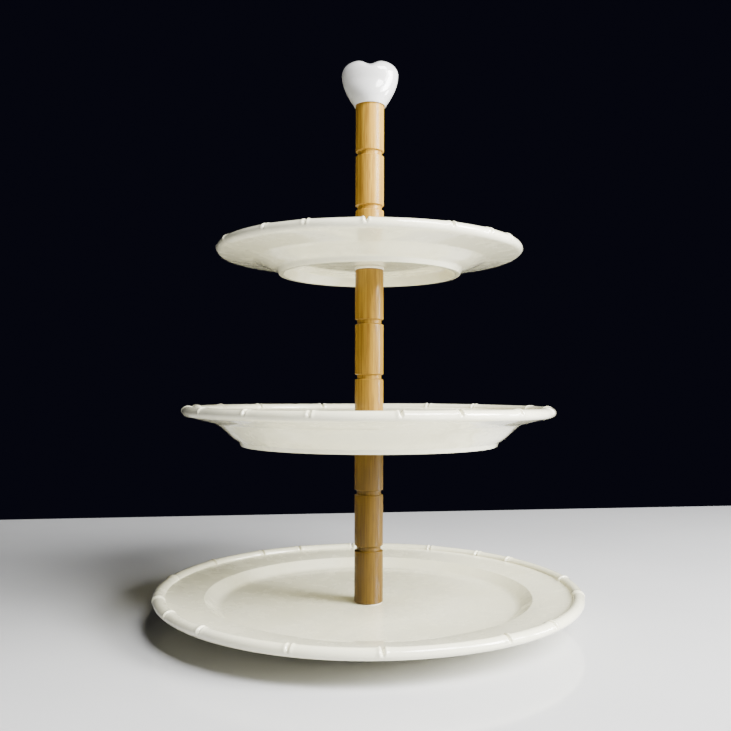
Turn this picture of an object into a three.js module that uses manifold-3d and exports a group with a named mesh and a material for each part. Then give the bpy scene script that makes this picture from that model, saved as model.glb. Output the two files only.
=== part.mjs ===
// A three-tier cake stand: three glazed plates held on a stem of three bamboo posts.
//
// The posts screw together through the plates. Each post has a threaded brass insert in its foot
// and a steel stud in its head. A soft washer lies between each post's head and the plate above it,
// and a thin one between each plate and the post that stands on it. A heart-shaped finial screws
// onto the last stud, and one screw under the lower plate holds the whole stem.
//
// Millimetres, +Z up. The origin is on the table, on the stem's axis.

import * as THREE from 'three';
import { mergeVertices } from 'three/addons/utils/BufferGeometryUtils.js';
import Module from 'manifold-3d';

const wasm = await Module();
wasm.setup();

// ---------------------------------------------------------------- driving dimensions

const post = {
  radius: 10,
  length: 113,
  edge: 0.6, // chamfer on both ends
  grooveHeights: [37.4, 76.0], // above the post's foot
  grooveDepth: 1.5,
  grooveHalfWidth: 1.9, // at the post's surface
  grooveFloorHalfWidth: 1.3,
};

const thread = {
  radius: 3, // M6
  engagement: 9, // length of stud that a fully tightened insert covers
  insertRadius: 5,
  insertLength: 12,
  studSetting: 14, // length of stud set into the wood
};

const glaze = {
  thickness: 3.5, // floor, around the hole
  flange: 3.8,
  holeRadius: 3.5,
  recess: 6.2, // from the foot ring's underside up to the floor's underside
  footWidth: 3.2,
  footHeight: 3.5,
  beadHalfWidth: 4,
  beadHalfHeight: 3.4,
  beadAbove: 0.3, // the flange's top over the bead's middle
  wellFillet: 3.4, // reach of the soft corner at the bottom of the well's wall
  seatRadius: 11.5, // ground seat for a post's washer, in the middle of the floor
  seatDepth: 0.2,
};

// Heights are above each plate's own foot ring.
const plates = {
  lower: {
    rimRadius: 146, rimHeight: 20.1, footRadius: 92, wellRadius: 103.2, floorRise: 0.8,
    shoulderRadius: 112.2, shoulderHeight: 17.6,
  },
  middle: {
    rimRadius: 128.2, rimHeight: 23.6, footRadius: 88.8, wellRadius: 94, floorRise: 1.0,
    shoulderRadius: 104.2, shoulderHeight: 19.4,
  },
  upper: {
    rimRadius: 106.5, rimHeight: 16.1, footRadius: 63.6, wellRadius: 75, floorRise: 1.1,
    shoulderRadius: 80, shoulderHeight: 13.5,
  },
};

const softWasher = { radius: 10.4, thickness: 2.1 }; // on a post's head, under the next plate
const thinWasher = { radius: 9.4, thickness: 0.5 }; // on a plate, under a post's foot
const finialWasher = { radius: 9.4, thickness: 0.6 };
const washerHoleRadius = 3.3;

const finial = {
  height: 31.7,
  baseRadius: 11.1,
  halfWidth: 20.05,
  widestHeight: 22.2,
  lobeOffset: 8.5, // from the axis to the middle of each lobe
  depthShare: 0.64, // how deep the heart is, front to back, as a share of its width
  notchDepth: 3.0,
  notchHalfWidth: 5.2,
  socketRadius: 10.3,
  socketDepth: 3.1,
};

const baseScrew = {
  headRadius: 6, headHeight: 3.2, length: 16, socketAcrossFlats: 4, socketDepth: 2,
};
const baseWasher = { radius: 9, thickness: 1.2 };
const gasket = { radius: 10, thickness: 0.8 };

const fit = 0.05; // radial clearance of a set-in insert or stud

const sides = { plate: 48, post: 32, finial: 32, small: 24 };

// ---------------------------------------------------------------- heights of the stack

const lowerFloor = glaze.recess + glaze.thickness;
const tierPitch = thinWasher.thickness + post.length + softWasher.thickness + glaze.thickness;

// ---------------------------------------------------------------- materials

const finish = {
  ivoryGlaze: { color: 0xe6e2d6, roughness: 0.12, metalness: 0 },
  whiteGlaze: { color: 0xf0efeb, roughness: 0.1, metalness: 0 },
  bamboo: { color: 0xc79a57, roughness: 0.45, metalness: 0 },
  brass: { color: 0xb89248, roughness: 0.35, metalness: 1 },
  steel: { color: 0xa9abad, roughness: 0.3, metalness: 1 },
  silicone: { color: 0xe9dfc4, roughness: 0.55, metalness: 0 },
  rubber: { color: 0x1d1d1d, roughness: 0.8, metalness: 0 },
};

// ---------------------------------------------------------------- shape tools

const at = (r, z) => new THREE.Vector2(r, z);

// Turns an outline of (radius, height) points about +Z.
function turned(outline, count) {
  return new THREE.LatheGeometry(outline, count).rotateX(Math.PI / 2);
}

// A washer or any other plain ring, standing on height 0.
function ring(inner, outer, height, count = sides.small) {
  return turned([at(inner, 0), at(outer, 0), at(outer, height), at(inner, height), at(inner, 0)], count);
}

// A stretch between two points of an outline, without the first one. It runs straight for a softness
// of 0, and as a full S for a softness of 1.
function sCurve(from, to, steps, softness) {
  const points = [];
  for (let i = 1; i <= steps; i += 1) {
    const t = i / steps;
    const eased = THREE.MathUtils.lerp(t, t * t * (3 - 2 * t), softness);
    points.push(at(THREE.MathUtils.lerp(from.x, to.x, t), THREE.MathUtils.lerp(from.y, to.y, eased)));
  }
  return points;
}

function solid(geometry) {
  const plain = geometry.clone();
  plain.deleteAttribute('normal');
  plain.deleteAttribute('uv');
  const merged = mergeVertices(plain, 1e-4);
  return new wasm.Manifold(new wasm.Mesh({
    numProp: 3,
    vertProperties: new Float32Array(merged.attributes.position.array),
    triVerts: new Uint32Array(merged.index.array),
  }));
}

// The geometry with each cutter taken out of it.
function cut(geometry, ...cutters) {
  let body = solid(geometry);
  for (const cutter of cutters) body = body.subtract(solid(cutter));
  const mesh = body.getMesh();
  const result = new THREE.BufferGeometry();
  result.setAttribute('position', new THREE.BufferAttribute(mesh.vertProperties, 3));
  result.setIndex(new THREE.BufferAttribute(mesh.triVerts, 1));
  result.computeVertexNormals();
  return result;
}

// ---------------------------------------------------------------- plates

// The rounded bead on the rim, from under its middle out, up and over to the flange's top.
function rimOutline(plate) {
  const { beadHalfWidth, beadHalfHeight } = glaze;
  const startAngle = THREE.MathUtils.degToRad(-80);
  const endAngle = Math.PI - Math.asin(glaze.beadAbove / beadHalfHeight);
  const middle = at(plate.rimRadius - beadHalfWidth, plate.rimHeight);
  const bead = new THREE.EllipseCurve(
    middle.x, middle.y, beadHalfWidth, beadHalfHeight, startAngle, endAngle, false,
  );
  return bead.getPoints(10);
}

// The underside, from the hole out to the flange: floor, foot ring and the wall of the well.
function undersideOutline(plate) {
  const { footRadius, floorRise } = plate;
  const ceilingEdge = at(footRadius - glaze.footWidth - 2.2, glaze.recess + floorRise);
  const footTop = at(footRadius + 2, glaze.footHeight);
  const shoulder = at(plate.shoulderRadius + 1.5, plate.shoulderHeight - glaze.flange);
  return [
    at(glaze.holeRadius, glaze.recess),
    at(plate.wellRadius / 2, glaze.recess),
    ceilingEdge,
    at(footRadius - glaze.footWidth, 0),
    at(footRadius - 0.7, 0),
    at(footRadius, 0.7),
    footTop,
    ...sCurve(footTop, shoulder, 3, 0.3),
  ];
}

// The top, from the flange back to the hole.
function topOutline(plate) {
  const seatHeight = glaze.recess + glaze.thickness;
  const floorHeight = seatHeight + glaze.seatDepth;
  const wellEdge = at(plate.wellRadius, floorHeight + plate.floorRise);
  const shoulder = at(plate.shoulderRadius, plate.shoulderHeight);
  const alongWall = shoulder.clone().sub(wellEdge).setLength(glaze.wellFillet);
  return [
    shoulder,
    wellEdge.clone().add(alongWall),
    at(wellEdge.x - glaze.wellFillet * 0.12, wellEdge.y + glaze.wellFillet * 0.15),
    at(wellEdge.x - glaze.wellFillet, wellEdge.y - 0.05),
    at(plate.wellRadius / 2, floorHeight),
    at(glaze.seatRadius, floorHeight),
    at(glaze.seatRadius - 0.1, seatHeight),
    at(glaze.holeRadius, seatHeight),
    at(glaze.holeRadius, glaze.recess),
  ];
}

function plateGeometry(plate) {
  return turned([...undersideOutline(plate), ...rimOutline(plate), ...topOutline(plate)], sides.plate);
}

// ---------------------------------------------------------------- posts and their hardware

// One flat-bottomed groove around a post, with sloping sides.
function grooveOutline(height) {
  const { radius, grooveDepth, grooveHalfWidth, grooveFloorHalfWidth } = post;
  return [
    at(radius, height - grooveHalfWidth),
    at(radius - grooveDepth, height - grooveFloorHalfWidth),
    at(radius - grooveDepth, height + grooveFloorHalfWidth),
    at(radius, height + grooveHalfWidth),
  ];
}

// Starts on the axis at the end of the bore in the foot, and ends on it in the bore in the head.
function postGeometry() {
  const { radius, length, edge } = post;
  const insertBore = thread.insertRadius + fit;
  const studBore = thread.radius + fit;
  const tipClearance = thread.radius + 0.4;
  return turned([
    at(0, thread.insertLength + 3.5),
    at(tipClearance, thread.insertLength + 1.5),
    at(tipClearance, thread.insertLength + fit),
    at(insertBore, thread.insertLength + fit),
    at(insertBore, 0),
    at(radius - edge, 0),
    at(radius, edge),
    ...post.grooveHeights.flatMap(grooveOutline),
    at(radius, length - edge),
    at(radius - edge, length),
    at(studBore, length),
    at(studBore, length - thread.studSetting - fit),
    at(0, length - thread.studSetting - 1.5),
  ], sides.post);
}

// A threaded bush, its mouth flush with the foot of the piece that holds it.
function insertGeometry() {
  const bore = thread.radius + fit;
  const { insertRadius, insertLength } = thread;
  return turned([
    at(bore, 0.5),
    at(bore + 0.5, 0),
    at(insertRadius, 0),
    at(insertRadius, insertLength),
    at(bore, insertLength),
    at(bore, 0.5),
  ], sides.small);
}

// A headless stud with a bevelled tip, standing on height 0.
function studGeometry(length) {
  const bevel = 0.7;
  return turned([
    at(0, 0),
    at(thread.radius, 0),
    at(thread.radius, length - bevel),
    at(thread.radius - bevel, length),
    at(0, length),
  ], sides.small);
}

// A domed screw pointing up, its head under height 0, with a hexagonal socket in the head.
function baseScrewGeometry() {
  const { headRadius, headHeight, length, socketAcrossFlats, socketDepth } = baseScrew;
  const bevel = 0.7;
  const body = turned([
    at(0, -headHeight),
    at(headRadius * 0.55, -headHeight),
    at(headRadius * 0.85, -headHeight * 0.72),
    at(headRadius, -headHeight * 0.25),
    at(headRadius, 0),
    at(thread.radius, 0),
    at(thread.radius, length - bevel),
    at(thread.radius - bevel, length),
    at(0, length),
  ], sides.small);
  const hexRadius = socketAcrossFlats / Math.sqrt(3);
  const socket = new THREE.CylinderGeometry(hexRadius, hexRadius, socketDepth * 2, 6).rotateX(Math.PI / 2);
  socket.translate(0, 0, -headHeight);
  return cut(body, socket);
}

// ---------------------------------------------------------------- finial

// Half of the heart's front outline, from the middle of its base to the middle of its top.
function heartOutline() {
  const { baseRadius, halfWidth, widestHeight, lobeOffset, height } = finial;
  const side = new THREE.CubicBezierCurve(
    at(baseRadius, 0), at(16.2, 7.5), at(halfWidth, 14.5), at(halfWidth, widestHeight),
  );
  const lobe = new THREE.EllipseCurve(
    lobeOffset, widestHeight, halfWidth - lobeOffset, height - widestHeight, 0, Math.PI / 2, false,
  );
  const crown = at(lobeOffset * 0.45, height);
  return [at(0, 0), ...side.getPoints(6), ...lobe.getPoints(5).slice(1), crown, at(0, height)];
}

// Flattens the round body front to back above its base, and sinks a notch between the two lobes.
function shapeHeart(geometry) {
  const position = geometry.attributes.position;
  for (let i = 0; i < position.count; i += 1) {
    const x = position.getX(i);
    const z = position.getZ(i);
    const flat = THREE.MathUtils.smoothstep(z, 0, finial.widestHeight * 0.8);
    const rise = THREE.MathUtils.smoothstep(z, finial.widestHeight, finial.height);
    const notch = finial.notchDepth * Math.exp(-((x / finial.notchHalfWidth) ** 2));
    position.setY(i, position.getY(i) * THREE.MathUtils.lerp(1, finial.depthShare, flat));
    position.setZ(i, z - notch * rise);
  }
  return geometry;
}

// A socket for the post's head, and above it the bore for the threaded insert.
function finialCutter() {
  const bore = thread.insertRadius + fit;
  const tip = thread.radius + 0.4;
  const insertTop = finial.socketDepth + thread.insertLength + fit;
  return turned([
    at(0, -2),
    at(finial.socketRadius, -2),
    at(finial.socketRadius, finial.socketDepth),
    at(bore, finial.socketDepth),
    at(bore, insertTop),
    at(tip, insertTop),
    at(tip, insertTop + 1),
    at(0, insertTop + 2.5),
  ], sides.finial);
}

function finialGeometry() {
  return cut(shapeHeart(turned(heartOutline(), sides.finial)), finialCutter());
}

// ---------------------------------------------------------------- assembly

const stand = new THREE.Group();

function add(name, geometry, look, height) {
  const mesh = new THREE.Mesh(geometry, new THREE.MeshStandardMaterial(finish[look]));
  mesh.name = name;
  mesh.position.z = height;
  stand.add(mesh);
}

const washerFor = (size) => ring(washerHoleRadius, size.radius, size.thickness);

// The screw that clamps the lower plate to the stem, with its washer and gasket.
function addBaseHardware() {
  const washerTop = glaze.recess - gasket.thickness;
  const headTop = washerTop - baseWasher.thickness;
  add('base_gasket', washerFor(gasket), 'rubber', washerTop);
  add('base_washer', washerFor(baseWasher), 'steel', headTop);
  add('base_screw', baseScrewGeometry(), 'steel', headTop);
}

// A plate, the thin washer on its floor and the post that stands on that, with its hardware.
function addTier(name, floorHeight, studReach) {
  const postFoot = floorHeight + thinWasher.thickness;
  const postHead = postFoot + post.length;
  const footRing = floorHeight - glaze.recess - glaze.thickness;
  add(`${name}_plate`, plateGeometry(plates[name]), 'ivoryGlaze', footRing);
  add(`${name}_plate_upper_washer`, washerFor(thinWasher), 'silicone', floorHeight);
  add(`${name}_post`, postGeometry(), 'bamboo', postFoot);
  add(`${name}_post_insert`, insertGeometry(), 'brass', postFoot);
  const stud = studGeometry(thread.studSetting + studReach);
  add(`${name}_post_stud`, stud, 'steel', postHead - thread.studSetting);
  return postHead;
}

const plateStack = softWasher.thickness + glaze.thickness + thinWasher.thickness;

addBaseHardware();
const lowerHead = addTier('lower', lowerFloor, plateStack + thread.engagement);
add('middle_plate_lower_washer', washerFor(softWasher), 'silicone', lowerHead);
const middleHead = addTier('middle', lowerFloor + tierPitch, plateStack + thread.engagement);
add('upper_plate_lower_washer', washerFor(softWasher), 'silicone', middleHead);
const upperHead = addTier('upper', lowerFloor + 2 * tierPitch, finialWasher.thickness + thread.engagement);

const finialSeat = upperHead + finialWasher.thickness;
add('finial_washer', washerFor(finialWasher), 'rubber', upperHead);
add('heart_finial', finialGeometry(), 'whiteGlaze', finialSeat - finial.socketDepth);
add('finial_insert', insertGeometry(), 'brass', finialSeat);

export default stand;
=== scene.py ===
# A three-tier cake stand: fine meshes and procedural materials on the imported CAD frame.
#
# Outlines are written in millimetres, as (radius, height) pairs, and become metres in revolve().
# Heights in an outline count from the lowest point of the CAD node that the piece stands for.

import math

import bpy
import numpy as np
from mathutils import Matrix, Vector


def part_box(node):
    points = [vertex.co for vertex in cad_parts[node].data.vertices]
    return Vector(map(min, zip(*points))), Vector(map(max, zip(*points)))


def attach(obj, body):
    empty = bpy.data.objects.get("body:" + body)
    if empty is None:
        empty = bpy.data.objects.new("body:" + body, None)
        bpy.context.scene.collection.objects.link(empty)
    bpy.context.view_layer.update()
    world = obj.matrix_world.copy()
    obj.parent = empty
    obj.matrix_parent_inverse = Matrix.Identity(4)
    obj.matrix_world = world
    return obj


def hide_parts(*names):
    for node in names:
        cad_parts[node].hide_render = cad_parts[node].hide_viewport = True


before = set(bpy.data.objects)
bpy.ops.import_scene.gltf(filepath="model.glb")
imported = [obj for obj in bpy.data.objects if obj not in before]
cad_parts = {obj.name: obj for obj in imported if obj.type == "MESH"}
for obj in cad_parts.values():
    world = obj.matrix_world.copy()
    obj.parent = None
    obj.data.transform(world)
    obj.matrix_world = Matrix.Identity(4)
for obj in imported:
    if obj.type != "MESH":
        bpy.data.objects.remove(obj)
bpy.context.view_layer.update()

MM = 0.001
TURN = 2 * math.pi

# ---------------------------------------------------------------- driving dimensions, in mm

THREAD_RADIUS = 3.0
THREAD_PITCH = 1.0
THREAD_DEPTH = 0.55
THREAD_BEVEL = 0.7  # of the end of a stud or screw
INSERT_RADIUS = 5.0
INSERT_LENGTH = 12.0
STUD_SETTING = 14.0  # how deep a stud sits in the head of its post
CLEARANCE = 0.05  # between a bore and the insert or stud in it
TIP_BORE = 3.4  # radius of the bore past the end of an insert
WASHER_HOLE = 3.3

POST = dict(radius=10.0, length=113.0, edge=0.6)
GROOVE = dict(depth=1.5, half_opening=1.9, half_floor=1.3, edge=0.3)
GROOVE_HEIGHTS = (37.4, 76.0)

# The thickness and the recess under it are those of the plate's middle, and the flange is as thick as
# its own value. The hole is a radius.
GLAZE = dict(thickness=3.5, flange=3.8, hole=3.5, recess=6.2, foot_width=3.2, foot_height=3.5)
BEAD = dict(half_width=4.0, half_height=3.4, above=0.3, start=math.radians(-80), steps=34)
SEAT_RADIUS = 9.6
FLOOR_LIFT = 0.2  # of the well's floor above the seat

# The foot is the radius outside the foot ring, and the well that of the well's floor, which rises by
# the rise from its middle to there. The shoulder is the edge where the well's wall meets the flange.
PLATES = {
    "lower_plate": dict(rim_height=20.1, foot=92.0, well=103.2, rise=0.8, shoulder=(112.2, 17.6)),
    "middle_plate": dict(rim_height=23.6, foot=88.8, well=94.0, rise=1.0, shoulder=(104.2, 19.4)),
    "upper_plate": dict(rim_height=16.1, foot=63.6, well=75.0, rise=1.1, shoulder=(80.0, 13.5)),
}

# Each knuckle of a rim is a groove across the bead between two ridges, on a broad low swelling.
KNUCKLE = dict(
    groove_depth=1.5, groove_width=0.75, groove_power=2.2, ridge=0.40,
    ridge_places=((1.5, 1.0), (-1.7, 1.1)), swelling=0.18, swelling_width=6.0,
)

# Where the knuckles sit on each rim, in degrees about +Z from +X.
KNUCKLES = {
    "lower_plate": (-163, -147, -131, -107, -87, -58, -42, -10, 7, 37, 50, 68, 96, 115, 129, 150, 173),
    "middle_plate": (-167, -144, -124, -105, -82, -66, -45, -22, -4, 15, 46, 66, 88, 109, 136, 157, 175),
    "upper_plate": (-170, -152, -127, -111, -91, -62, -45, -31, -7, 14, 38, 58, 77, 101, 122, 148),
}

# The pulls shape the curve of the heart's side: the first is a point near its foot, and the second is
# the height below the widest place where the curve turns upright.
FINIAL = dict(
    height=31.7, base=11.1, half_width=20.05, widest=22.2, lobe=8.5, depth_share=0.64,
    notch_depth=3.0, notch_half=5.2, socket_radius=10.3, socket_depth=3.1,
    side_pull=(16.2, 7.5), widest_pull=14.5, crown_drop=1.1, half_depth=13.0,
)

# ---------------------------------------------------------------- camera, lights and table

# Places and sizes here are in metres, and turns in degrees. The camera's lens and sensor are in mm,
# and its shift is a share of the frame's width.
CAMERA = dict(place=(0, -0.5629, 0.157), tilt=91.81, roll=0.16, lens=39.388, sensor=36, shift=-0.00498)

# Azimuth from +X towards +Y and elevation, in degrees, then distance and size, and power in watts.
LIGHTS = {
    "key": (-20, 22, 1.5, 0.6, 62),
    "front": (-50, 46, 1.5, 0.6, 53),
    "near_right": (-30, 25, 0.9, 0.35, 11),
    "low_right": (0, 4, 1.2, 0.25, 11),
}
LIGHT_TARGET = Vector((0, 0, 0.15))
TABLE = dict(left=-3.0, right=3.0, near=-3.0, far=0.467, thickness=0.02, turn=8.2)
DARK_ROOM = (0.0032, 0.0032, 0.0075)

# ---------------------------------------------------------------- outlines

ARC_STEP = math.radians(11)
ARC_SHARE = 0.48
NEARLY_STRAIGHT = 0.005


def rounded(corners, closed=True):
    """Points along (radius, height, rounding) corners, with each corner turned into an arc.

    A corner that is nearly straight stays as it is, and no arc takes more than about half a side.
    """
    points = []
    last = len(corners) - 1
    for i, (r, z, rounding) in enumerate(corners):
        here = Vector((r, z))
        if rounding == 0 or (not closed and i in (0, last)):
            points.append(here)
            continue
        before = Vector(corners[i - 1][:2]) - here
        after = Vector(corners[(i + 1) % len(corners)][:2]) - here
        half = before.angle(after) / 2
        if half > math.pi / 2 - NEARLY_STRAIGHT:
            points.append(here)
            continue
        reach = min(rounding / math.tan(half), ARC_SHARE * before.length, ARC_SHARE * after.length)
        start = before.normalized() * reach
        end = after.normalized() * reach
        centre = (start + end).normalized() * reach / math.cos(half)
        radius = (start - centre).length
        steps = max(2, round((math.pi - 2 * half) / ARC_STEP))
        for k in range(steps + 1):
            spoke = (start - centre).slerp(end - centre, k / steps).normalized()
            points.append(here + centre + spoke * radius)
    return np.array(points)


def ellipse(centre, half_sizes, start, end, steps):
    """Corners along part of an ellipse, with no rounding of their own."""
    angles = [start + (end - start) * i / steps for i in range(steps + 1)]
    return [
        (centre[0] + half_sizes[0] * math.cos(a), centre[1] + half_sizes[1] * math.sin(a), 0)
        for a in angles
    ]


def straight(start, end, shares):
    """Corners at these shares of the way from start to end."""
    run, rise = end[0] - start[0], end[1] - start[1]
    return [(start[0] + run * t, start[1] + rise * t, 0) for t in shares]


def even_angles(count):
    return np.arange(count) * TURN / count


# ---------------------------------------------------------------- mesh making

AXIS_RADIUS = 1e-6  # a point closer to the axis than this is on it


def finish_piece(piece, body, nodes, material):
    piece.data.materials.append(material)
    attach(piece, body)
    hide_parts(*nodes)


def mesh_piece(name, points, faces, crease=40):
    mesh = bpy.data.meshes.new(name)
    mesh.from_pydata(points.tolist(), [], faces)
    mesh.shade_smooth()
    mesh.set_sharp_from_angle(angle=math.radians(crease))
    piece = bpy.data.objects.new(name, mesh)
    bpy.context.scene.collection.objects.link(piece)
    return piece


def grid_faces(columns, rows, wrap_rows):
    """Quads of a grid of points that closes round its columns, stored column by column."""
    faces = []
    for a in range(columns):
        b = (a + 1) % columns
        for k in range(rows if wrap_rows else rows - 1):
            n = (k + 1) % rows
            faces.append((a * rows + k, b * rows + k, b * rows + n, a * rows + n))
    return faces


def cap_faces(columns, rows):
    """Triangles from the first and last row of that grid to the two poles stored after it."""
    first_pole = columns * rows
    faces = []
    for a in range(columns):
        b = (a + 1) % columns
        faces.append((first_pole, b * rows, a * rows))
        faces.append((first_pole + 1, a * rows + rows - 1, b * rows + rows - 1))
    return faces


def plain(radius, height, angle):
    """The relief of a smooth turned surface."""
    return radius * np.cos(angle), radius * np.sin(angle), height


def pole(height, relief):
    """The point on the axis at this height, lifted as the relief lifts what is round it."""
    lifted = relief(np.array([AXIS_RADIUS]), np.array([height]), np.zeros(1))[2]
    return 0.0, 0.0, lifted[0]


def revolve(name, outline, angles, base, relief=plain, crease=40):
    """Turns an outline about the stem's axis, in the order that faces its normals outwards.

    An outline that starts and ends on the axis is capped there, and any other one closes on itself.
    relief(radius, height, angle) returns x, y and z for the grid of points, in mm.
    """
    on_axis = outline[0][0] < AXIS_RADIUS
    ring = outline[1:-1] if on_axis else outline
    radius, angle = np.meshgrid(ring[:, 0], angles)
    height = np.tile(ring[:, 1], (len(angles), 1))
    points = np.stack(relief(radius, height, angle), axis=-1).reshape(-1, 3)
    faces = grid_faces(len(angles), len(ring), wrap_rows=not on_axis)
    if on_axis:
        points = np.vstack([points, pole(outline[0][1], relief), pole(outline[-1][1], relief)])
        faces += cap_faces(len(angles), len(ring))
    points[:, 2] += base
    return mesh_piece(name, points * MM, faces, crease)


def base_of(node):
    """The lowest height of a CAD node, in mm."""
    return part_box(node)[0].z / MM


# ---------------------------------------------------------------- plates


def rim_angles(knuckles):
    """Angles about the stem, close together at each knuckle and up to 1.5 degrees apart between."""
    reach, steps, crowding = math.radians(5.5), 15, 1.7
    crowded = []
    for centre in knuckles:
        for i in range(-steps, steps + 1):
            share = math.copysign(abs(i / steps) ** crowding, i)
            crowded.append(math.radians(centre) + share * reach)
    crowded = sorted(a % TURN for a in crowded)
    angles = []
    for i, here in enumerate(crowded):
        gap = (crowded[(i + 1) % len(crowded)] - here) % TURN
        extra = max(1, math.ceil(gap / math.radians(1.5)))
        angles.extend(here + gap * k / extra for k in range(extra))
    return np.array(angles)


def wall_top(plate):
    """The corner under the flange where the plate's sloping outer wall ends."""
    shoulder_radius, shoulder_height = plate["shoulder"]
    return shoulder_radius + 1.5, shoulder_height - GLAZE["flange"]


def underside_corners(plate):
    """From the hole out past the foot ring and up the sloping wall."""
    foot, recess = plate["foot"], GLAZE["recess"]
    inner_foot = foot - GLAZE["foot_width"]
    low = (foot + 2, GLAZE["foot_height"])
    high = wall_top(plate)
    run, rise = high[0] - low[0], high[1] - low[1]
    return [
        (GLAZE["hole"], recess, 0.5),
        (plate["well"] / 2, recess, 30),
        (inner_foot - 2.2, recess + plate["rise"], 1.2),
        (inner_foot, 0, 0.6),
        (foot, 0, 0.8),
        (foot + 1.4, GLAZE["foot_height"] - 0.5, 0.8),
        (low[0] + 0.4, low[1] + 0.2, 0.7),
        (low[0] + run * 0.3, low[1] + rise * 0.25, 20),
        (low[0] + run * 0.75, low[1] + rise * 0.79, 20),
        (*high, 1.4),
    ]


def rim_corners(rim, plate):
    """Out under the flange, round the bead and back along the flange's top."""
    centre = (rim - BEAD["half_width"], plate["rim_height"])
    half_sizes = (BEAD["half_width"], BEAD["half_height"])
    end = math.pi - math.asin(BEAD["above"] / BEAD["half_height"])
    bead = ellipse(centre, half_sizes, BEAD["start"], end, BEAD["steps"])
    outer, inner = bead[0], bead.pop()
    return [
        *straight(wall_top(plate), outer, (0.1, 0.4, 0.7, 0.9)),
        *bead,
        (inner[0], inner[1], 0.6),
        *straight(inner, plate["shoulder"], (0.05, 0.1, 0.17, 0.27, 0.4)),
    ]


def well_corners(plate):
    """From the shoulder down the well's wall and across its floor to the hole."""
    seat = GLAZE["recess"] + GLAZE["thickness"]
    floor = seat + FLOOR_LIFT
    return [
        (*plate["shoulder"], 1.0),
        (plate["well"], floor + plate["rise"], 10),
        (plate["well"] / 2, floor, 60),
        (SEAT_RADIUS, floor, 0.05),
        (SEAT_RADIUS - 0.1, seat, 0.05),
        (GLAZE["hole"], seat, 0.5),
    ]


def plate_outline(rim, plate):
    return rounded([*underside_corners(plate), *rim_corners(rim, plate), *well_corners(plate)])


def bell(distance, centre, width):
    """A smooth bump of height 1."""
    return np.exp(-(((distance - centre) / width) ** 2))


def knuckle_marks(angle, knuckles, radius):
    """How much the knuckles raise and cut a rim at each angle, in mm, each one a little different."""
    raised = np.zeros_like(angle)
    cut = np.zeros_like(angle)
    for i, degrees in enumerate(knuckles):
        away = (angle - math.radians(degrees) + math.pi) % TURN - math.pi
        along = away * radius
        uneven = 0.14 * math.cos(2.3 * i)
        raised += KNUCKLE["swelling"] * bell(along, 0, KNUCKLE["swelling_width"])
        for (place, width), share in zip(KNUCKLE["ridge_places"], (uneven, -uneven)):
            raised += (KNUCKLE["ridge"] + share) * bell(along, place, width)
        depth = KNUCKLE["groove_depth"] + 0.2 * math.sin(3.7 * i)
        steep = np.abs(along / KNUCKLE["groove_width"]) ** KNUCKLE["groove_power"]
        cut += depth * np.exp(-steep)
    return raised, cut


def plate_relief(rim, plate, knuckles):
    """Marks the bead with its knuckles, and warps the plate a little, as firing does.

    The marks are full on the bead's top and fade out on its outer face, the grooves first.
    """
    centre_r = rim - BEAD["half_width"]
    centre_z = plate["rim_height"]

    def relief(radius, height, angle):
        raised, cut = knuckle_marks(angle, knuckles, centre_r)
        out_r, out_z = radius - centre_r, height - centre_z
        on_bead = np.hypot(out_r / BEAD["half_width"], out_z / BEAD["half_height"]) < 1.12
        mark_share = np.where(on_bead, np.clip((out_z + 1.6) / 2.8, 0, 1), 0)
        cut_share = np.where(on_bead, np.clip((out_z + 0.6) / 2.2, 0, 1), 0)
        swell = (raised - cut * cut_share) * mark_share
        stretch = 1 + swell / np.maximum(np.hypot(out_r, out_z), 1)
        waves = 0.16 * np.sin(3 * angle + centre_r) + 0.10 * np.sin(5 * angle + 1.3)
        warp = (radius / rim) ** 3 * waves
        r = centre_r + out_r * stretch
        z = centre_z + out_z * stretch + warp * np.clip(height / 6, 0, 1)
        return r * np.cos(angle), r * np.sin(angle), z

    return relief


def make_plate(node, body, glaze):
    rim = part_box(node)[1].x / MM
    plate = PLATES[node]
    knuckles = KNUCKLES[node]
    piece = revolve(
        f"{node}_glazed", plate_outline(rim, plate), rim_angles(knuckles), base_of(node),
        plate_relief(rim, plate, knuckles), crease=60,
    )
    finish_piece(piece, body, [node], glaze)


# ---------------------------------------------------------------- posts and threads


def threaded(radius, inward):
    """A relief that cuts an M6 screw thread into points at this radius, on a stud or in a bore."""

    def relief(r, height, angle):
        phase = np.abs((height / THREAD_PITCH - angle / TURN) % 1 * 2 - 1)
        crest = np.clip(phase * 1.25 - 0.1, 0, 1) * THREAD_DEPTH
        cut = r - THREAD_DEPTH + crest if inward else r + THREAD_DEPTH - crest
        new = np.where(np.abs(r - radius) < 1e-6, cut, r)
        return new * np.cos(angle), new * np.sin(angle), height

    return relief


def thread_rows(radius, start, end):
    """Outline points up a stretch of thread, eight to a turn."""
    count = round(abs(end - start) / THREAD_PITCH * 8)
    return [(radius, start + (end - start) * i / count, 0) for i in range(count + 1)]


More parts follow.
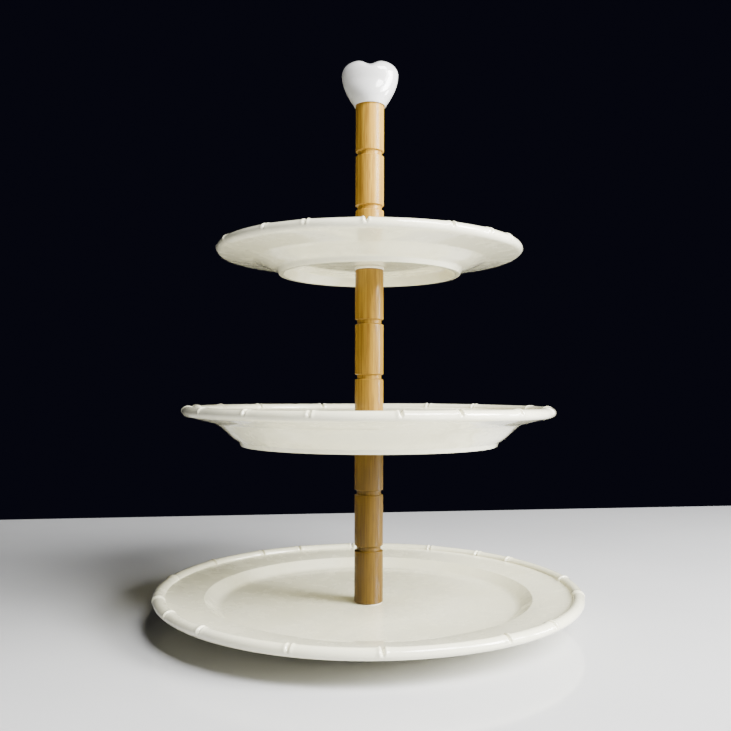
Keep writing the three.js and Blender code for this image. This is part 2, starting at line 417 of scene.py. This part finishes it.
def post_outline():
    """From inside the bore in the foot, out and up past the grooves, and down the stud's bore."""
    radius, length, edge = POST["radius"], POST["length"], POST["edge"]
    insert_bore = INSERT_RADIUS + CLEARANCE
    stud_bore = THREAD_RADIUS + CLEARANCE
    corners = [
        (0, INSERT_LENGTH + 3.5, 0),
        (TIP_BORE, INSERT_LENGTH + 1.5, 0.2),
        (TIP_BORE, INSERT_LENGTH + CLEARANCE, 0.1),
        (insert_bore, INSERT_LENGTH + CLEARANCE, 0.2),
        (insert_bore, 0, 0.15),
        (radius - edge, 0, 0.15),
        (radius, edge, 0.25),
    ]
    for height in GROOVE_HEIGHTS:
        floor_radius = radius - GROOVE["depth"]
        corners += [
            (radius, height - GROOVE["half_opening"], GROOVE["edge"]),
            (floor_radius, height - GROOVE["half_floor"], GROOVE["edge"]),
            (floor_radius, height + GROOVE["half_floor"], GROOVE["edge"]),
            (radius, height + GROOVE["half_opening"], GROOVE["edge"]),
        ]
    corners += [
        (radius, length - edge, 0.25),
        (radius - edge, length, 0.15),
        (stud_bore, length, 0.15),
        (stud_bore, length - STUD_SETTING - CLEARANCE, 0.1),
        (0, length - STUD_SETTING - 1.5, 0),
    ]
    return rounded(corners, closed=False)


def make_post(node, body, bamboo):
    piece = revolve(f"{node}_turned", post_outline(), even_angles(128), base_of(node), crease=50)
    finish_piece(piece, body, [node], bamboo)


def make_insert(node, body, brass):
    """A brass insert, threaded inside and knurled outside above a smooth collar."""
    bore = THREAD_RADIUS
    outer = INSERT_RADIUS
    outline = rounded([
        (bore + 0.6, 0, 0.1),
        (outer, 0, 0.15),
        (outer, 1.2, 0.1),
        (outer - 0.35, 1.5, 0.1),
        (outer - 0.35, 2.4, 0.1),
        (outer, 2.7, 0.1),
        (outer, INSERT_LENGTH, 0.2),
        (bore + 0.3, INSERT_LENGTH, 0.1),
        *thread_rows(bore, INSERT_LENGTH - 0.5, 0.6),
    ])

    def relief(r, height, angle):
        x, y, z = threaded(bore, inward=False)(r, height, angle)
        knurl = np.where((r > outer - 0.02) & (height > 2.7), 0.16 * np.abs(np.sin(14 * angle)), 0)
        shrink = 1 - knurl / np.maximum(r, 1)
        return x * shrink, y * shrink, z

    piece = revolve(f"{node}_threaded", outline, even_angles(84), base_of(node), relief, crease=35)
    finish_piece(piece, body, [node], brass)


def make_stud(node, body, steel):
    low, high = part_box(node)
    length = (high.z - low.z) / MM
    outline = rounded([
        (0, 0, 0),
        (THREAD_RADIUS - THREAD_BEVEL, 0, 0.1),
        *thread_rows(THREAD_RADIUS, 0.5, length - THREAD_BEVEL),
        (THREAD_RADIUS - THREAD_BEVEL, length, 0.15),
        (0, length, 0),
    ], closed=False)
    relief = threaded(THREAD_RADIUS, inward=True)
    piece = revolve(f"{node}_threaded", outline, even_angles(48), base_of(node), relief, crease=35)
    finish_piece(piece, body, [node], steel)


# ---------------------------------------------------------------- screw, washers and gasket


def make_base_screw(body, steel):
    """A domed screw pointing up, its threaded shank over the head, with a hexagonal socket."""
    low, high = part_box("base_screw")
    length = (high.z - low.z) / MM
    head, head_height = (high.x - low.x) / 2 / MM, 3.2
    to_flats, socket_depth = 2.0, 2.0
    outline = rounded([
        (0, socket_depth + 0.5, 0),
        (to_flats - 0.4, socket_depth, 0.1),
        (to_flats, socket_depth, 0),
        (to_flats, 0.25, 0),
        (to_flats + 0.35, 0, 0.1),
        (head * 0.5, 0, 1.5),
        (head * 0.86, head_height * 0.3, 2.0),
        (head, head_height * 0.75, 0.5),
        (head, head_height, 0.25),
        (THREAD_RADIUS, head_height, 0.1),
        *thread_rows(THREAD_RADIUS, head_height + 0.6, length - THREAD_BEVEL),
        (THREAD_RADIUS - THREAD_BEVEL, length, 0.15),
        (0, length, 0),
    ], closed=False)

    def relief(r, height, angle):
        x, y, z = threaded(THREAD_RADIUS, inward=True)(r, height, angle)
        past_flat = (angle + math.pi / 6) % (math.pi / 3) - math.pi / 6
        in_socket = (np.abs(r - to_flats) < 1e-6) & (height < socket_depth + 0.01)
        hexagon = np.where(in_socket, 1 / np.cos(past_flat), 1)
        return x * hexagon, y * hexagon, z

    base = base_of("base_screw")
    piece = revolve("base_screw_domed", outline, even_angles(48), base, relief, crease=30)
    finish_piece(piece, body, ["base_screw"], steel)


def make_washer(node, body, material, rounding):
    low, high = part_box(node)
    outer = high.x / MM
    thickness = (high.z - low.z) / MM
    soft = min(rounding, thickness * 0.45)
    outline = rounded([
        (WASHER_HOLE, 0, soft * 0.7),
        (outer, 0, soft),
        (outer, thickness, soft),
        (WASHER_HOLE, thickness, soft * 0.7),
    ])
    piece = revolve(f"{node}_moulded", outline, even_angles(96), base_of(node), crease=50)
    finish_piece(piece, body, [node], material)


# ---------------------------------------------------------------- finial


def bezier(a, b, c, d, steps):
    """Corners along a cubic curve, without its first point."""
    corners = []
    for i in range(1, steps + 1):
        t = i / steps
        weights = ((1 - t) ** 3, 3 * t * (1 - t) ** 2, 3 * t * t * (1 - t), t ** 3)
        r, z = (sum(w * p[k] for w, p in zip(weights, (a, b, c, d))) for k in (0, 1))
        corners.append((r, z, 0))
    return corners


def finial_outline():
    """From the end of the insert's bore down through the socket, and up the outside of the heart."""
    heart = FINIAL
    depth, base = heart["socket_depth"], heart["base"]
    insert_bore = INSERT_RADIUS + CLEARANCE
    insert_top = depth + INSERT_LENGTH + CLEARANCE
    side_start = (base + 0.25, 0.5)
    widest = (heart["half_width"], heart["widest"])
    below_widest = (heart["half_width"], heart["widest_pull"])
    side = bezier(side_start, heart["side_pull"], below_widest, widest, 22)
    lobe_size = (heart["half_width"] - heart["lobe"], heart["height"] - heart["widest"])
    lobe = ellipse((heart["lobe"], heart["widest"]), lobe_size, 0, math.pi / 2, 18)[1:]
    crown = [(heart["lobe"] * (1 - i / 8), heart["height"], 0) for i in range(1, 8)]
    return rounded([
        (0, insert_top + 2.5, 0),
        (TIP_BORE, insert_top + 1, 0.2),
        (TIP_BORE, insert_top, 0.1),
        (insert_bore, insert_top, 0.2),
        (insert_bore, depth, 0.3),
        (heart["socket_radius"], depth, 0.4),
        (heart["socket_radius"], 0.3, 0.25),
        (heart["socket_radius"] + 0.35, 0, 0.2),
        (base - 0.1, 0, 0.3),
        (side_start[0], side_start[1], 0.3),
        *side,
        *lobe,
        *crown,
        (0, heart["height"], 0),
    ], closed=False)


def smooth_rise(height, start, end):
    """From 0 at start to 1 at end, level at both."""
    share = np.clip((height - start) / (end - start), 0, 1)
    return share * share * (3 - 2 * share)


def heart_relief(radius, height, angle):
    """Flattens the round body front to back above its base, and sinks a notch between the lobes."""
    heart = FINIAL
    outside = (radius > heart["base"] - 0.6) | (height > heart["widest"])
    x, y = radius * np.cos(angle), radius * np.sin(angle)
    flat = np.where(outside, smooth_rise(height, 0, heart["widest"] * 0.8), 0)
    rise = smooth_rise(height, heart["widest"], heart["height"])
    notch = heart["notch_depth"] * bell(x, 0, heart["notch_half"])
    y = y * (1 + (heart["depth_share"] - 1) * flat)
    crown = heart["crown_drop"] * rise * (y / heart["half_depth"]) ** 2
    return x, y, height - np.where(outside, notch * rise + crown, 0)


def make_finial(body, glaze):
    piece = revolve(
        "heart_finial_glazed", finial_outline(), even_angles(144), base_of("heart_finial"),
        heart_relief, crease=60,
    )
    finish_piece(piece, body, ["heart_finial"], glaze)


# ---------------------------------------------------------------- materials


class Nodes:
    """A new material's node tree, with short calls to add and link its nodes."""

    def __init__(self, name):
        self.material = bpy.data.materials.new(name)
        self.material.use_nodes = True
        self.tree = self.material.node_tree
        self.shader = self.tree.nodes["Principled BSDF"]
        self.place = self.add("ShaderNodeTexCoord").outputs["Object"]

    def add(self, kind, **settings):
        node = self.tree.nodes.new(kind)
        for key, value in settings.items():
            if key in node.inputs:
                node.inputs[key].default_value = value
            else:
                setattr(node, key, value)
        return node

    def link(self, source, target):
        self.tree.links.new(source, target)

    def stretched(self, scale, offset=(0, 0, 0)):
        """Object coordinates, in metres, times a scale on each axis."""
        mapping = self.add("ShaderNodeMapping", Scale=scale, Location=offset)
        self.link(self.place, mapping.inputs["Vector"])
        return mapping.outputs["Vector"]

    def noise(self, scale=1.0, detail=2.0, roughness=0.5, vector=None):
        node = self.add("ShaderNodeTexNoise", Scale=scale, Detail=detail, Roughness=roughness)
        self.link(vector or self.place, node.inputs["Vector"])
        return node.outputs["Fac"]

    def spots(self, scale, vector=None):
        """Distance to the nearest of many scattered points."""
        node = self.add("ShaderNodeTexVoronoi", Scale=scale)
        self.link(vector or self.place, node.inputs["Vector"])
        return node.outputs["Distance"]

    def ramp(self, value, low, high, bottom=0.0, top=1.0):
        """Maps value from low..high to bottom..top, held at both ends."""
        node = self.add("ShaderNodeMapRange")
        node.inputs["From Min"].default_value = low
        node.inputs["From Max"].default_value = high
        node.inputs["To Min"].default_value = bottom
        node.inputs["To Max"].default_value = top
        self.link(value, node.inputs["Value"])
        return node.outputs["Result"]

    def math(self, operation, a, b=0):
        node = self.add("ShaderNodeMath", operation=operation)
        for socket, value in zip(node.inputs, (a, b)):
            if isinstance(value, (int, float)):
                socket.default_value = value
            else:
                self.link(value, socket)
        return node.outputs["Value"]

    def mix(self, factor, low, high):
        """Colour between low and high; each may be a colour or another node's output."""
        node = self.add("ShaderNodeMix", data_type="RGBA")
        self.link(factor, node.inputs[0])
        for socket, value in ((node.inputs[6], low), (node.inputs[7], high)):
            if isinstance(value, tuple):
                socket.default_value = (*value, 1)
            else:
                self.link(value, socket)
        return node.outputs[2]

    def bump(self, height, distance, strength=1.0, below=None):
        node = self.add("ShaderNodeBump", Strength=strength, Distance=distance)
        self.link(height, node.inputs["Height"])
        if below:
            self.link(below, node.inputs["Normal"])
        return node.outputs["Normal"]

    def surface(self, colour, roughness, normal, **fixed):
        """Wires these up and sets the other shader sockets, named with underscores for spaces."""
        for key, value in fixed.items():
            self.shader.inputs[key.replace("_", " ")].default_value = value
        for name, source in (("Base Color", colour), ("Roughness", roughness), ("Normal", normal)):
            self.link(source, self.shader.inputs[name])
        return self.material


def glaze_material(name, light, deep, fleck):
    """A thick glossy glaze: tone that drifts where it pools, a few tiny flecks, and a wavy skin."""
    n = Nodes(name)
    drift = n.noise(scale=26, detail=3, roughness=0.55)
    base = n.mix(n.ramp(drift, 0.3, 0.7), deep, light)
    speck = n.ramp(n.spots(240), 0.05, 0.11, 1, 0)
    rare = n.ramp(n.noise(scale=95, detail=1), 0.66, 0.7)
    colour = n.mix(n.math("MULTIPLY", speck, rare), base, fleck)
    wave = n.noise(scale=22, detail=1, roughness=0.3)
    skin = n.noise(scale=700, detail=2, roughness=0.5)
    normal = n.bump(wave, distance=0.0006, strength=0.07)
    normal = n.bump(skin, distance=0.00001, strength=0.04, below=normal)
    roughness = n.ramp(n.noise(scale=60, detail=4, roughness=0.65), 0.3, 0.7, 0.2, 0.32)
    n.link(normal, n.shader.inputs["Coat Normal"])
    return n.surface(
        colour, roughness, normal, Specular_IOR_Level=0.3, Coat_Weight=1.0,
        Coat_Roughness=0.03, Coat_IOR=1.62,
    )


def bamboo_material(name, shade):
    """Turned laminated bamboo: strips of slightly different tone, long fibres and dark pores.

    Shade scales all the colours of one post. The three shades differ far more than real posts would:
    they were matched under these lights, and make up for light that the lights don't give.
    """
    def shaded(red, green, blue):
        return red * shade, green * shade, blue * shade

    n = Nodes(name)
    split = n.add("ShaderNodeSeparateXYZ")
    n.link(n.place, split.inputs["Vector"])
    wander = n.ramp(n.noise(vector=n.stretched((60, 60, 9)), detail=1), 0, 1, -0.12, 0.12)
    strip = n.math("FLOOR", n.math("ADD", n.math("MULTIPLY", split.outputs["X"], 230), wander))
    tone = n.add("ShaderNodeTexWhiteNoise", noise_dimensions="1D")
    n.link(strip, tone.inputs["W"])
    fibres = n.noise(vector=n.stretched((2600, 2600, 26)), detail=3, roughness=0.6)
    broad = n.noise(vector=n.stretched((520, 520, 11)), detail=2, roughness=0.5)
    pore = n.ramp(n.spots(1.0, n.stretched((1500, 1500, 55))), 0.08, 0.3, 1, 0)
    stain = n.ramp(n.noise(vector=n.stretched((190, 190, 24), (3, 1, 7)), detail=3), 0.58, 0.75)
    strips = n.ramp(tone.outputs["Value"], 0, 1, 0.1, 0.9)
    base = n.mix(strips, shaded(0.141, 0.071, 0.008), shaded(0.212, 0.118, 0.013))
    base = n.mix(n.ramp(broad, 0.35, 0.68, 0, 0.75), base, shaded(0.255, 0.152, 0.018))
    base = n.mix(n.ramp(fibres, 0.45, 0.68, 0, 0.7), base, shaded(0.081, 0.036, 0.004))
    base = n.mix(n.math("MULTIPLY", pore, 0.6), base, shaded(0.042, 0.017, 0.002))
    colour = n.mix(n.math("MULTIPLY", stain, 0.4), base, shaded(0.060, 0.027, 0.004))
    normal = n.bump(fibres, distance=0.00012, strength=0.45)
    normal = n.bump(pore, distance=-0.00008, strength=0.5, below=normal)
    roughness = n.ramp(fibres, 0.3, 0.7, 0.36, 0.56)
    return n.surface(
        colour, roughness, normal, Specular_IOR_Level=0.1, Coat_Weight=0.22, Coat_Roughness=0.16,
    )


def metal_material(name, light, dark, rough):
    """Machined metal: fine turning lines, dull patches and small dark marks."""
    n = Nodes(name)
    lines = n.noise(vector=n.stretched((300, 300, 9000)), detail=2)
    patches = n.noise(scale=420, detail=4, roughness=0.6)
    marks = n.ramp(n.noise(scale=1400, detail=3), 0.62, 0.72)
    base = n.mix(n.ramp(patches, 0.35, 0.65), dark, light)
    colour = n.mix(n.math("MULTIPLY", marks, 0.5), base, tuple(c * 0.35 for c in dark))
    normal = n.bump(lines, distance=0.00003, strength=0.5)
    roughness = n.ramp(patches, 0.3, 0.7, rough - 0.08, rough + 0.12)
    return n.surface(colour, roughness, normal, Metallic=1.0)


def rubber_material(name, light, dark, rough, sheen):
    """Moulded rubber: a matt skin with a fine grain and a dusty bloom."""
    n = Nodes(name)
    bloom = n.noise(scale=300, detail=4, roughness=0.6)
    grain = n.noise(scale=5200, detail=2)
    colour = n.mix(n.ramp(bloom, 0.35, 0.7), dark, light)
    normal = n.bump(grain, distance=0.00004, strength=0.5)
    roughness = n.ramp(bloom, 0.3, 0.7, rough - 0.08, rough + 0.08)
    return n.surface(
        colour, roughness, normal, Specular_IOR_Level=0.4, Sheen_Weight=sheen, Sheen_Roughness=0.5,
    )


def table_material():
    """A pale, half-glossy table top, slightly cloudy, whose gloss varies a little."""
    n = Nodes("pale_table")
    cloudy = n.noise(scale=5, detail=4)
    colour = n.mix(n.ramp(cloudy, 0.3, 0.7), (0.595, 0.597, 0.606), (0.635, 0.637, 0.646))
    roughness = n.ramp(n.noise(scale=18, detail=5, roughness=0.6), 0.3, 0.7, 0.08, 0.15)
    normal = n.bump(n.noise(scale=60, detail=2), distance=0.0002, strength=0.03)
    return n.surface(colour, roughness, normal, Specular_IOR_Level=0.45)


# ---------------------------------------------------------------- assembly


def make_stand():
    ivory = glaze_material("ivory_glaze", (0.90, 0.875, 0.68), (0.87, 0.84, 0.62), (0.42, 0.36, 0.22))
    white = glaze_material("white_glaze", (0.67, 0.665, 0.655), (0.64, 0.635, 0.62), (0.40, 0.37, 0.32))
    brass = metal_material("machined_brass", (0.78, 0.56, 0.25), (0.60, 0.40, 0.15), 0.3)
    steel = metal_material("zinc_steel", (0.66, 0.67, 0.68), (0.44, 0.45, 0.47), 0.3)
    silicone = rubber_material("cream_silicone", (0.82, 0.77, 0.64), (0.72, 0.66, 0.52), 0.5, 0.1)
    rubber = rubber_material("dark_rubber", (0.05, 0.05, 0.052), (0.022, 0.022, 0.023), 0.7, 0.2)

    # Each post's bamboo shade is mostly painted light and shade: the lower post painted darker and the
    # upper one lighter than the bamboo itself.
    for tier, base_body, seat, stem, shade in (
        ("lower", "base", "lower_seat", "lower_stem", 0.55),
        ("middle", "middle_tier", "middle_seat", "middle_stem", 1.38),
        ("upper", "upper_tier", "upper_seat", "upper_stem", 2.1),
    ):
        make_plate(f"{tier}_plate", base_body, ivory)
        make_washer(f"{tier}_plate_upper_washer", seat, silicone, 0.2)
        make_post(f"{tier}_post", stem, bamboo_material(f"{tier}_bamboo", shade))
        make_insert(f"{tier}_post_insert", stem, brass)
        make_stud(f"{tier}_post_stud", stem, steel)
    make_washer("middle_plate_lower_washer", "lower_stem", silicone, 0.8)
    make_washer("upper_plate_lower_washer", "middle_stem", silicone, 0.8)
    make_washer("finial_washer", "finial_seat", rubber, 0.25)
    make_washer("base_gasket", "base", rubber, 0.3)
    make_washer("base_washer", "base", steel, 0.25)
    make_base_screw("base", steel)
    make_insert("finial_insert", "finial", brass)
    make_finial("finial", white)


def make_table():
    """The pale table top, turned a little, whose back edge makes the horizon."""
    left, right, near, far = TABLE["left"], TABLE["right"], TABLE["near"], TABLE["far"]
    thickness = TABLE["thickness"]
    turn = Matrix.Rotation(math.radians(TABLE["turn"]), 3, "Z")
    corners = [(left, near), (right, near), (right, far), (left, far)]
    points = [turn @ Vector((x, y, z)) for z in (0, -thickness) for x, y in corners]
    faces = [(0, 1, 2, 3), (7, 6, 5, 4), (0, 4, 5, 1), (1, 5, 6, 2), (2, 6, 7, 3), (3, 7, 4, 0)]
    table = mesh_piece("pale_table", np.array(points), faces)
    table.data.materials.append(table_material())


def add_light(name, azimuth, elevation, distance, size, power):
    """A square soft light, placed by its angles about the middle of the stand and aimed at it."""
    turn, rise = math.radians(azimuth), math.radians(elevation)
    level = math.cos(rise)
    away = Vector((math.cos(turn) * level, math.sin(turn) * level, math.sin(rise)))
    data = bpy.data.lights.new(name, "AREA")
    data.size = size
    data.energy = power
    light = bpy.data.objects.new(name, data)
    light.location = LIGHT_TARGET + away * distance
    light.rotation_euler = (-away).to_track_quat("-Z", "Y").to_euler()
    bpy.context.scene.collection.objects.link(light)


def light_scene():
    world = bpy.data.worlds.new("dark_room")
    world.use_nodes = True
    world.node_tree.nodes["Background"].inputs["Color"].default_value = (*DARK_ROOM, 1)
    bpy.context.scene.world = world
    for name, placing in LIGHTS.items():
        add_light(name, *placing)


def make_camera():
    data = bpy.data.cameras.new("camera")
    data.sensor_width = CAMERA["sensor"]
    data.lens = CAMERA["lens"]
    data.shift_x = CAMERA["shift"]
    data.clip_start = 0.01
    camera = bpy.data.objects.new("camera", data)
    place = Matrix.Translation(CAMERA["place"])
    tilt = Matrix.Rotation(math.radians(CAMERA["tilt"]), 4, "X")
    roll = Matrix.Rotation(math.radians(CAMERA["roll"]), 4, "Z")
    camera.matrix_world = place @ tilt @ roll
    bpy.context.scene.collection.objects.link(camera)
    bpy.context.scene.camera = camera


make_camera()
make_table()
make_stand()
light_scene()

bpy.context.view_layer.update()
